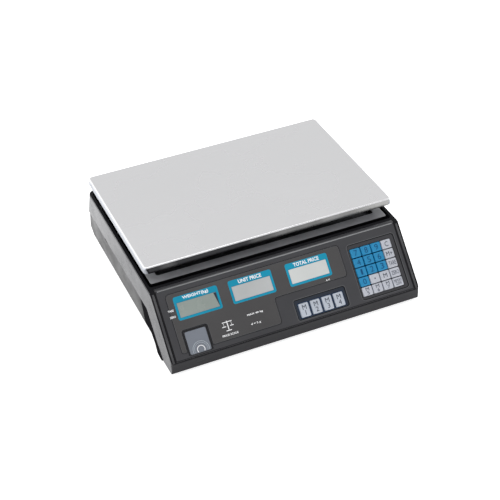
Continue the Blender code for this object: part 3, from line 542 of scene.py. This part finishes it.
# Legend and its width and height in mm
BLUE_LEGENDS = {"key_%d" % digit: (str(digit), 4.7, 7.4) for digit in range(10)}
BLUE_LEGENDS["key_1"] = ("1", 2.6, 7.4)
WHITE_LEGENDS = {
    "key_c": ("C", 4.6, 6.4), "key_add": ("M+", 8.8, 5.6), "key_tare": ("TARE", 10.2, 5.2),
    "key_zero": ("ZERO", 10.2, 5.2), "key_point": ("•", 1.8, 1.8), "key_m": ("M", 5.2, 5.6),
    "key_m5": ("M\n5", 4.6, 9.2), "key_m6": ("M\n6", 4.6, 9.2), "key_m7": ("M\n7", 4.6, 9.2),
    "key_clear": ("MEMORY\nCLEAR", 11.2, 7.4),
}
MEMORY_LEGENDS = {"key_m%d" % i: ("M\n%d" % i, 5.4, 13.0) for i in range(1, 5)}
KEY_OUTLINE = 0.5 * MM

# Recesses of the two key groups on the slope, as lowest and highest u, and v, and depth
KEY_POCKET = (91.3 * MM, 158.2 * MM, 12.8 * MM, 85.9 * MM)
MEMORY_POCKET = (1.5 * MM, 73.0 * MM, 59.7 * MM, 86.4 * MM)
POCKET_DEPTH = 1.0 * MM
# Width of the painted shade line round a recess floor, and of the lip round its mouth, which carries a
# painted highlight
POCKET_SHADE = 1.0 * MM
LIP = 0.7 * MM


def make_key(node, legend, finish, legend_ink, slot):
    refine(node, finish, 0.2 * MM, 2)
    text, width, height = legend
    (left, right), (top, low), (_, high) = SLOPE.extent(node)
    words = lettering(node + "_legend", text, width, height, legend_ink, 0.0)
    SLOPE.place(words, (left + right) / 2, (top + low) / 2, high + INK_LIFT, node, slot)


def make_keys(f):
    for node, legend in BLUE_LEGENDS.items():
        make_key(node, legend, f["key_blue"], f["blue_ink"], "key_blue")
    for node, legend in WHITE_LEGENDS.items():
        make_key(node, legend, f["key_white"], f["dark_ink"], "key_white")
    for node, legend in MEMORY_LEGENDS.items():
        make_key(node, legend, f["key_memory"], f["dark_ink"], "key_white")


def pocket_groove(f, name, pocket, radius):
    """A dark line of painted shade round the floor of a key recess, and a pale lip round its mouth with a
    painted highlight.
    """
    left, right, top, low = pocket
    gap = 0.05 * MM
    outer = rounded(left + gap, right - gap, gap - low, -top - gap, radius)
    inner = rounded(left + POCKET_SHADE, right - POCKET_SHADE, POCKET_SHADE - low, -top - POCKET_SHADE, radius - POCKET_SHADE)
    # Painted shade: a near-black ring on the recess floor along its walls
    ring = flat_piece(name, [outer, inner], 0.1 * MM, f["groove"])
    SLOPE.place(ring, 0, 0, -POCKET_DEPTH + INK_LIFT)
    # Painted highlight: a pale ring round the recess mouth
    crest = rounded(left - LIP, right + LIP, -LIP - low, LIP - top, radius + LIP)
    brink = rounded(left, right, -low, -top, radius)
    SLOPE.place(flat_piece(name + "_lip", [crest, brink], 0.15 * MM, f["lip"]), 0, 0, INK_LIFT)


def make_memory_floor(f):
    """Blue-black floor of the memory keys' recess, with a deep blue outline round each key."""
    left, right, top, low = MEMORY_POCKET
    inset = POCKET_SHADE + 0.1 * MM
    holes, rings = [], []
    for i in range(1, 5):
        (a, b), (c, d), _ = SLOPE.extent("key_m%d" % i)
        near, far = 0.35 * MM, 0.35 * MM + KEY_OUTLINE
        holes.append(rounded(a - far, b + far, -d - far, -c + far, 1.4 * MM, 3))
        rings.append([holes[-1], rounded(a - near, b + near, -d - near, -c + near, 1.2 * MM, 3)])
    outer = rounded(left + inset, right - inset, inset - low, -top - inset, 2.0 * MM)
    floor = flat_piece("memory_floor", [outer, *holes], 0.08 * MM, f["recess"])
    SLOPE.place(floor, 0, 0, -POCKET_DEPTH + INK_LIFT)
    for i, ring in enumerate(rings, 1):
        outline = flat_piece("memory_outline_%d" % i, ring, 0.12 * MM, f["key_edge"])
        SLOPE.place(outline, 0, 0, -POCKET_DEPTH + INK_LIFT)


# ---------------------------------------------------------------- seams, lips and ridges

def front_loop(board, node):
    """The outermost edge loop of a node's flat front, as points across and up on the board."""
    mesh = NODES[node].data
    level = board.extent(node)[2][1]
    spots = [vertex.co - board.origin for vertex in mesh.vertices]
    flat = [(spot.dot(board.across), -spot.dot(board.down)) for spot in spots]
    follow = {}
    for face in mesh.polygons:
        if all(abs(spots[i].dot(board.normal) - level) < 0.01 * MM for i in face.vertices):
            corners = [(round(flat[i][0], 6), round(flat[i][1], 6)) for i in face.vertices]
            for start, end in zip(corners, corners[1:] + corners[:1]):
                follow[(start, end)] = True
    rim = {start: end for start, end in follow if (end, start) not in follow}
    loops = []
    while rim:
        loop = [next(iter(rim))]
        while loop[-1] in rim:
            loop.append(rim.pop(loop[-1]))
        loops.append(loop[:-1])
    return max(loops, key=lambda loop: max(x for x, _ in loop) - min(x for x, _ in loop))


def inset_loop(points, width):
    """The loop moved inwards; points run anticlockwise."""
    moved = []
    for before, point, after in zip(points[-1:] + points[:-1], points, points[1:] + points[:1]):
        back = (Vector(point) - Vector(before)).normalized()
        ahead = (Vector(after) - Vector(point)).normalized()
        turn = Vector((-back.y - ahead.y, back.x + ahead.x)).normalized()
        reach = width / max(0.4, turn.dot(Vector((-ahead.y, ahead.x))))
        moved.append(tuple(Vector(point) + turn * reach))
    return moved


def bead(name, length, radius, height, finish):
    """A half-round ridge along the board's downward axis, starting at the origin."""
    steps = 8
    count = steps + 1
    angles = [math.pi * k / steps for k in range(count)]
    profile = [(radius * math.cos(angle), height * math.sin(angle)) for angle in angles]
    vertices = [(x, -y, z) for y in (0.0, length) for x, z in profile]
    faces = [(k, k + 1, k + 1 + count, k + count) for k in range(steps)] + [(steps, 0, count, 2 * count - 1)]
    obj = new_object(name, vertices, [*faces, tuple(range(count)), tuple(range(2 * count - 1, steps, -1))])
    obj.data.materials.append(finish)
    obj.data.shade_smooth()
    return obj


# Strips round the label: how far inside its edge they start, and how wide they are
# The label's dark seam is its edge; the pale rim strip inside it is a painted highlight
LABEL_STRIPS = (("label_seam", 0.0, 0.45 * MM, "groove"), ("label_painted_highlight", 0.5 * MM, 0.3 * MM, "lip"))
PANEL_SEAM = 0.7 * MM

# Ridge along the crease, coloured pale as a painted highlight: half its length, and how far down the slope
# it lies
CREASE_HALF, CREASE_V = 161.0 * MM, 1.2 * MM

# Ridge down each side of the slope: its place across, start, length, radius and height
RIDGE_U, RIDGE_V = 166.6 * MM, 3.0 * MM
RIDGE_LENGTH, RIDGE_RADIUS, RIDGE_HEIGHT = 88.0 * MM, 1.5 * MM, 0.5 * MM
BEAD_SINK = 0.05 * MM

# Dark line on both sides of that ridge: places across in mm, half its width, and its two ends
GROOVE_PLACES = (164.6, 168.4)
GROOVE_HALF, GROOVE_ENDS = 0.4 * MM, (-90.5 * MM, -1.5 * MM)


def make_seams(f):
    """Dark seams round the label and the panel, a pale strip of painted highlight just inside the label's
    edge, and ridges along the crease and the sides of the slope; the crease ridge is coloured pale as a
    painted highlight.
    """
    level = SLOPE.extent("display_lens")[2][1]
    edge = front_loop(SLOPE, "display_lens")
    for name, start, width, finish in LABEL_STRIPS:
        outer = inset_loop(edge, start) if start else edge
        band = flat_piece(name, [outer, inset_loop(edge, start + width)], INK_DEPTH * 0.5, f[finish])
        SLOPE.place(band, 0, 0, level + INK_LIFT * 0.5)
    border = front_loop(SLOPE, "front_panel")
    seam = flat_piece("panel_seam", [border, inset_loop(border, PANEL_SEAM)], INK_DEPTH, f["groove"])
    SLOPE.place(seam, 0, 0, INK_LIFT)
    # The crease ridge's pale colour is a painted highlight
    crease = bead("crease_ridge", 2 * CREASE_HALF, 0.7 * MM, 0.3 * MM, f["crest"])
    quarter_turn = Matrix.Rotation(math.radians(90), 4, "Z")
    crease.data.transform(quarter_turn @ Matrix.Translation((0, CREASE_HALF, 0)))
    SLOPE.place(crease, 0, CREASE_V, -BEAD_SINK)
    make_parting_seams(f)
    for side in (-1, 1):
        make_side_ridge(f, side)


def make_side_ridge(f, side):
    ridge = bead("slope_ridge_%d" % (side + 1), RIDGE_LENGTH, RIDGE_RADIUS, RIDGE_HEIGHT, f["panel"])
    SLOPE.place(ridge, side * RIDGE_U, RIDGE_V, -BEAD_SINK)
    for place in GROOVE_PLACES:
        middle = place * MM
        line = rounded(middle - GROOVE_HALF, middle + GROOVE_HALF, *GROOVE_ENDS, 0.3 * MM, 2)
        if side < 0:
            line = [(-x, y) for x, y in reversed(line)]
        groove = flat_piece("slope_groove_%d_%d" % (side + 1, place), [line], INK_DEPTH, f["groove"])
        SLOPE.place(groove, 0, 0, INK_LIFT)


PARTING_TOP = 0.5 * MM
PARTING_BACK, PARTING_FRONT = 12.0 * MM, 4.0 * MM
PARTING_LINE = (-1.0 * MM, -0.1 * MM)


def make_parting_seams(f):
    """The dark joint between the two shells, along both flanks of the lower one, just under its top edge."""
    high_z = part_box("lower_housing")[1].z
    corners = [vertex.co for vertex in NODES["lower_housing"].data.vertices]
    top = [spot for spot in corners if spot.z > high_z - PARTING_TOP]
    reach = max(spot.x for spot in top)
    back = max(spot.y for spot in top) - PARTING_BACK
    front = min(spot.y for spot in top) + PARTING_FRONT
    for side in (-1, 1):
        board = Board((side * reach, 0, high_z), (0, side, 0), (side, 0, 0))
        start, end = sorted((side * front, side * back))
        line = rounded(start, end, *PARTING_LINE, 0.2 * MM, 2)
        seam = flat_piece("parting_seam_%d" % (side + 1), [line], INK_DEPTH, f["groove"])
        board.place(seam, 0, 0, 0.1 * MM)


# ---------------------------------------------------------------- displays and printing

# Caption, its width in mm, and the glass of each display
LCDS = {
    "lcd_weight": ("WEIGHT(kg)", 34.0, "lcd_green"),
    "lcd_unit_price": ("UNIT PRICE", 31.0, "lcd_gray"),
    # The total price glass carries a painted reflection
    "lcd_total_price": ("TOTAL PRICE", 35.0, "lcd_painted_reflection"),
}
CAPTION_HEIGHT = 4.8

# Rating plate underneath: its centre, half its sides, its lines, their pitch and a letter width in mm
PLATE_SPOT, PLATE_HALF = (20.0 * MM, 30.0 * MM), (32 * MM, 19 * MM)
RATING_LINES = (
    "PRICE SCALE", "MAX 40 kg   d = 5 g", "AC 230 V   50 Hz   5 W", "BATTERY 6 V   4 Ah", "SERIAL 000000",
)
LINE_PITCH, LETTER_WIDTH = 6.6 * MM, 2.2
FRAME_SIDE = 2.6 * MM
FRAME_STRIP = 7.4 * MM


def make_display(f, board, name, bounds, level, caption, width, glass):
    """A cyan frame with a caption strip, a darker inner lip of painted shade and the glass behind it."""
    left, right, top, low = bounds
    border = rounded(left, right, -low, -top, 2.6 * MM)
    lip = 0.55 * MM
    window = (left + FRAME_SIDE, right - FRAME_SIDE, FRAME_SIDE - low, -top - FRAME_STRIP)
    opening = rounded(*window, 0.8 * MM)
    inner = rounded(window[0] + lip, window[1] - lip, window[2] + lip, window[3] - lip, 0.5 * MM)
    ring = flat_piece(name + "_frame", [border, opening], INK_DEPTH, f["cyan"])
    board.place(ring, 0, 0, level + INK_LIFT, slot="display_lens")
    # Painted shade: a darker ring inside each window's edge
    edge = flat_piece(name + "_lip", [opening, inner], INK_DEPTH, f["cyan_painted_shade"])
    board.place(edge, 0, 0, level + INK_LIFT, slot="display_lens")
    pane = flat_piece(name + "_pane", [inner], INK_DEPTH * 0.6, f[glass])
    board.place(pane, 0, 0, level + INK_LIFT, slot="lcd_glass")
    words = lettering(name + "_caption", caption, width, CAPTION_HEIGHT, f["white_ink"])
    over = level + INK_LIFT * 2 + INK_DEPTH
    board.place(words, (left + right) / 2, top + FRAME_STRIP / 2, over, slot="display_lens")


def make_weight_shade(f, level):
    """A dark wedge on the right edge of the weight display, where its deep frame would shade it."""
    (_, right), (top, low), _ = SLOPE.extent("lcd_weight")
    corner, upper, width = right - FRAME_SIDE + 0.1 * MM, -top - 6.4 * MM, 3.4 * MM
    wedge = ((corner, -low + 3.4 * MM), (corner, upper), (corner - width, upper))
    shade = flat_piece("lcd_weight_shade", [wedge], INK_DEPTH * 0.3, f["recess"])
    SLOPE.place(shade, 0, 0, level + INK_LIFT + INK_DEPTH * 0.7, slot="lcd_glass")


def make_displays(f):
    level = SLOPE.extent("display_lens")[2][1]
    edge, above = 0.7 * MM, 2.0 * MM
    make_weight_shade(f, level)
    for node, printing in LCDS.items():
        (left, right), (top, low), _ = SLOPE.extent(node)
        make_display(f, SLOPE, node, (left - edge, right + edge, top - above, low), level, *printing)


def make_customer_displays(f):
    """The same three displays again, in one row in the customer's window."""
    (left, right), (top, low), (_, level) = BACK.extent("rear_window")
    middle, half_u, half_v = (top + low) / 2, 36.0 * MM, 9.4 * MM
    for i, (name, printing) in enumerate(LCDS.items()):
        centre = (i - 1) * (right - left) / 3
        bounds = (centre - half_u, centre + half_u, middle - half_v, middle + half_v)
        make_display(f, BACK, "customer_" + name, bounds, level, *printing)


def make_printing(f):
    """White printing on the label, all of it generic."""
    level = SLOPE.extent("display_lens")[2][1] + INK_LIFT
    words = (
        ("over_caption", "TARE", 7.6, 2.6, -151.3, 28.4),
        ("zero_caption", "ZERO", 7.6, 2.6, -151.0, 36.3),
        ("capacity_caption", "MAX 40 kg", 21.0, 2.9, -50.0, 60.5),
        ("division_caption", "d = 5 g", 13.0, 2.9, -52.6, 72.5),
        ("name_caption", "PRICE SCALE", 21.0, 2.5, -88.0, 76.4),
        ("mains_caption", "▲ AC", 5.6, 2.2, 54.6, 46.9),
    )
    for name, text, width, height, u, v in words:
        caption = lettering(name, text, width, height, f["white_ink"])
        SLOPE.place(caption, u * MM, v * MM, level, slot="display_lens")
    make_balance_sign(f, level)


def make_rear_printing(f):
    """Marks beside the switch and the inlet."""
    for name, text, width, height, u, v in (
        ("switch_on_mark", "I", 0.7, 3.0, -54.0, 60.0), ("switch_off_mark", "O", 2.8, 3.0, -86.5, 60.0),
        ("inlet_mark", "AC 230 V", 14.0, 2.6, -108.0, 47.5),
    ):
        BACK.place(lettering(name, text, width, height, f["white_ink"]), u * MM, v * MM, 0.12 * MM)


def make_rating_plate(f):
    """A plate with generic ratings under the housing."""
    under = Board((0, 0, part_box("lower_housing")[0].z), (1, 0, 0), (0, 0, -1))
    plate_u, plate_v = PLATE_SPOT
    outline = rounded(-PLATE_HALF[0], PLATE_HALF[0], -PLATE_HALF[1], PLATE_HALF[1], 2 * MM)
    plate = flat_piece("rating_plate", [outline], 0.08 * MM, f["zinc"])
    under.place(plate, plate_u, plate_v, INK_LIFT, slot="housing_plastic")
    for i, line in enumerate(RATING_LINES):
        words = lettering("rating_line_%d" % i, line, LETTER_WIDTH * len(line), 3.0, f["dark_ink"], 0.0)
        row_v = plate_v + (i - 2) * LINE_PITCH
        under.place(words, plate_u, row_v, 0.12 * MM, slot="housing_plastic")


def make_balance_sign(f, level):
    """A plain pictogram of a pair of balance pans."""
    bars = (
        (-0.6, 0.6, -5.6, 5.8), (-3.6, 3.6, -6.8, -5.8), (-6.4, 6.4, 4.0, 5.0),
        (-7.6, -2.6, -1.4, -0.4), (2.6, 7.6, -1.4, -0.4), (-5.3, -4.9, -0.3, 3.9), (4.9, 5.3, -0.3, 3.9),
    )
    for i, bar in enumerate(bars):
        outline = rounded(*(value * MM for value in bar), 0.18 * MM, 2)
        strip = flat_piece("balance_sign_%d" % i, [outline], INK_DEPTH, f["white_ink"])
        SLOPE.place(strip, -88.0 * MM, 65.0 * MM, level + i * 0.001 * MM, slot="display_lens")


# ---------------------------------------------------------------- bubble level

LEVEL_CENTRE_V = 83.2 * MM

# Name, radius and width of each ring mark, in mm
LEVEL_RINGS = (
    ("level_ring_outer", 10.6, 0.5), ("level_ring_middle", 8.6, 0.35), ("level_ring_inner", 5.2, 0.9),
)
BOLD_RING = 0.6


def make_level(f):
    """Ring marks on the opaque window, cut off by its lower edge, and ridges round three of its sides."""
    (left, right), (top, low), (_, level) = SLOPE.extent("level_window")
    centre_u, floor_v = (left + right) / 2 + 0.8 * MM, low - 0.8 * MM
    for name, radius, thick in LEVEL_RINGS:
        outline = arc_band(radius * MM, thick * MM, floor_v - LEVEL_CENTRE_V)
        band = flat_piece(name, [outline], 0.12 * MM, f["white_ink"] if thick > BOLD_RING else f["glaze"])
        SLOPE.place(band, centre_u, LEVEL_CENTRE_V, level + INK_LIFT, slot="clear_plastic")
    rib, reach, sink = 1.1 * MM, 1.0 * MM, -0.85 * MM
    inner, outer = (left - reach, right + reach), (left - reach - rib, right + reach + rib)
    bars = (
        (outer[0], inner[0], -low, -top + reach), (inner[1], outer[1], -low, -top + reach),
        (outer[0], outer[1], -top + reach, -top + reach + rib),
    )
    for i, bar in enumerate(bars):
        ridge = flat_piece("level_ridge_%d" % i, [rounded(*bar, 0.3 * MM, 3)], 0.8 * MM, f["housing"])
        SLOPE.place(ridge, 0, 0, sink)


def arc_band(radius, thick, drop, steps=28):
    """The part of a ring that stays above a line a drop below its centre, as one closed outline."""
    outer_reach = math.asin(min(1.0, drop / radius))
    inner_reach = math.asin(min(1.0, drop / (radius - thick)))
    outer = [(-outer_reach + (math.pi + 2 * outer_reach) * k / steps) for k in range(steps + 1)]
    inner = [(-inner_reach + (math.pi + 2 * inner_reach) * k / steps) for k in range(steps + 1)]
    hole = radius - thick
    points = [(radius * math.cos(a), radius * math.sin(a)) for a in outer]
    return points + [(hole * math.cos(a), hole * math.sin(a)) for a in reversed(inner)]


def main():
    bpy.context.scene.view_settings.view_transform = "Standard"
    make_camera()
    make_floor()
    make_world()
    make_lights()
    finishes = make_finishes()
    finish_nodes(finishes)
    make_keys(finishes)
    pocket_groove(finishes, "key_groove", KEY_POCKET, 4.0 * MM)
    pocket_groove(finishes, "memory_pocket_painted", MEMORY_POCKET, 3.0 * MM)
    make_memory_floor(finishes)
    make_seams(finishes)
    make_displays(finishes)
    make_customer_displays(finishes)
    make_printing(finishes)
    make_rear_printing(finishes)
    make_rating_plate(finishes)
    make_level(finishes)


main()
